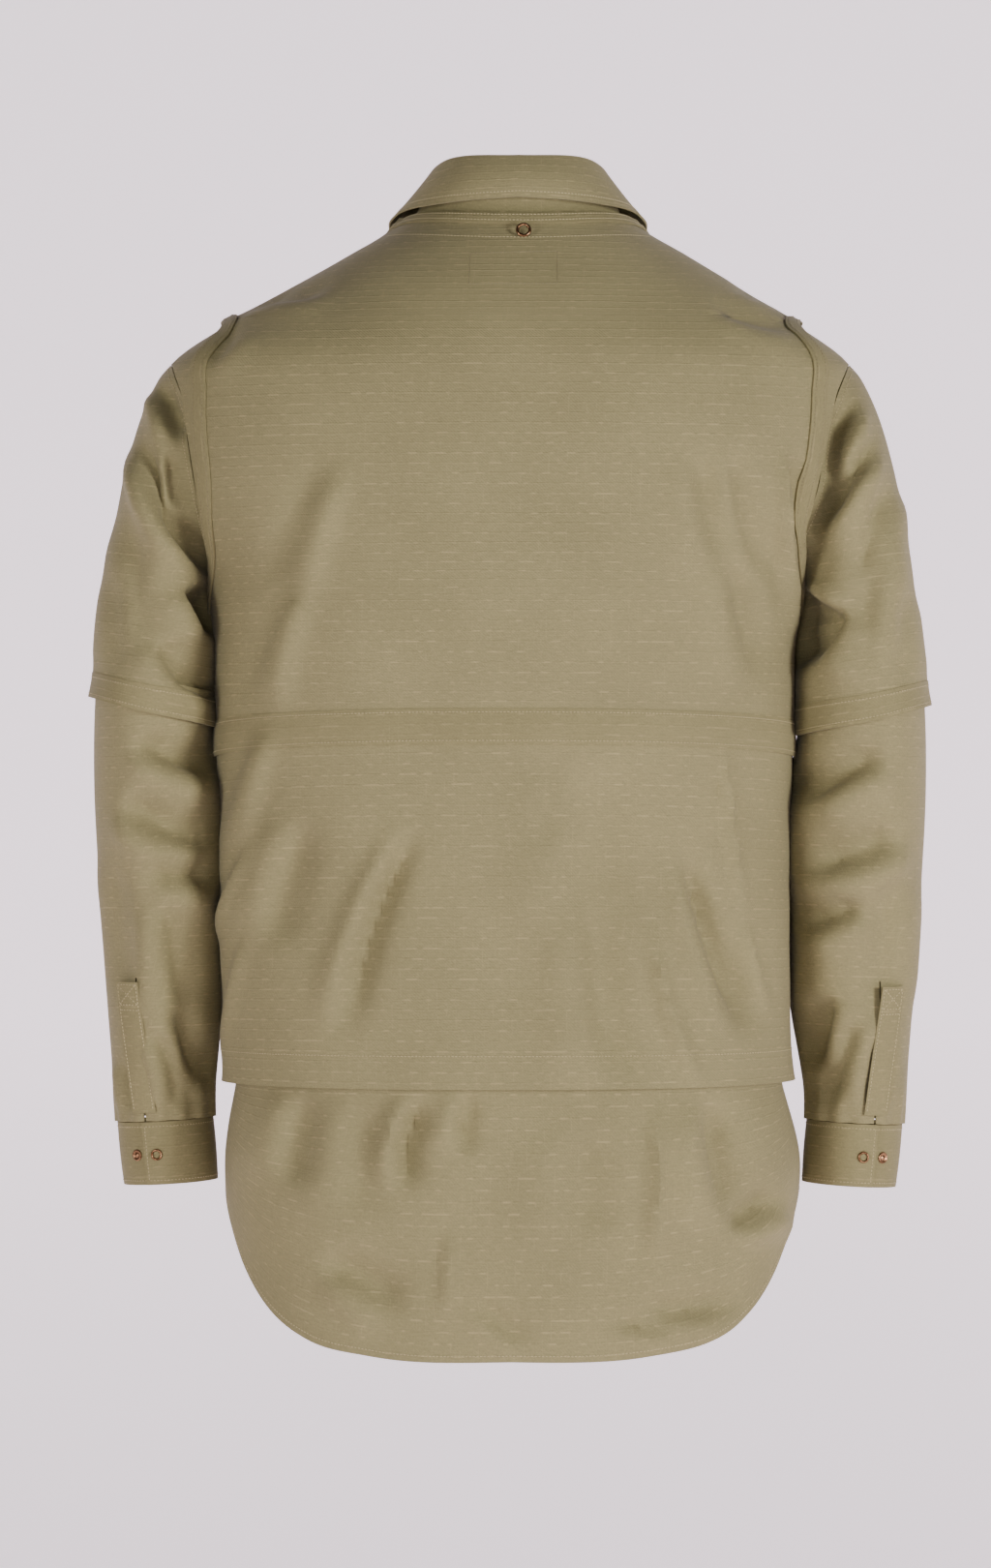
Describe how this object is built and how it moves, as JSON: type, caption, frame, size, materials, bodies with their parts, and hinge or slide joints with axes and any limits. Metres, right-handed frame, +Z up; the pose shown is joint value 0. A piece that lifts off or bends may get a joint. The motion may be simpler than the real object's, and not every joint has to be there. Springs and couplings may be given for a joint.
{
  "type": "shirt jacket",
  "caption": "Worn-form shirt jacket in ripstop cotton: a sleeveless vest layer over a long-sleeved shirt with collar, snap cuffs and curved tail",
  "frame": {"origin": "between the wearer's shoulders, level with the neck points of the shoulder seams, where the wearer holds the garment up", "axes": "+Z up, the front faces -Y, the back +Y, +X is the wearer's left"},
  "size_m": [0.5968, 0.2778, 0.832],
  "materials": {
    "ripstop_cotton": "matte woven cotton with slubs",
    "ripstop_cotton_doubled": "matte woven cotton, doubled and topstitched",
    "antique_brass": "antiqued ring snaps"
  },
  "bodies": {
    "root": {"shirt_back": "ripstop_cotton", "shirt_front_left": "ripstop_cotton", "shirt_front_right": "ripstop_cotton", "vest_back_upper": "ripstop_cotton", "vest_back_lower": "ripstop_cotton", "vest_front_left": "ripstop_cotton", "vest_front_right": "ripstop_cotton", "collar_leaf": "ripstop_cotton", "sleeve_upper_left": "ripstop_cotton", "sleeve_upper_right": "ripstop_cotton", "sleeve_lower_left": "ripstop_cotton", "sleeve_lower_right": "ripstop_cotton", "shirt_placket": "ripstop_cotton_doubled", "collar_stand": "ripstop_cotton_doubled", "vest_waist_casing": "ripstop_cotton_doubled", "vest_armhole_left": "ripstop_cotton_doubled", "vest_armhole_right": "ripstop_cotton_doubled", "vest_neck_binding": "ripstop_cotton_doubled", "sleeve_band_left": "ripstop_cotton_doubled", "sleeve_band_right": "ripstop_cotton_doubled", "sleeve_placket_left": "ripstop_cotton_doubled", "sleeve_placket_right": "ripstop_cotton_doubled", "cuff_left": "ripstop_cotton_doubled", "cuff_right": "ripstop_cotton_doubled", "neck_snap": "antique_brass", "vest_snap_1": "antique_brass", "vest_snap_2": "antique_brass", "vest_snap_3": "antique_brass", "vest_snap_4": "antique_brass", "vest_snap_5": "antique_brass", "shirt_snap_1": "antique_brass", "shirt_snap_2": "antique_brass", "cuff_snap_left": "antique_brass", "cuff_snap_right": "antique_brass", "cuff_socket_left": "antique_brass", "cuff_socket_right": "antique_brass"}
  },
  "joints": []
}
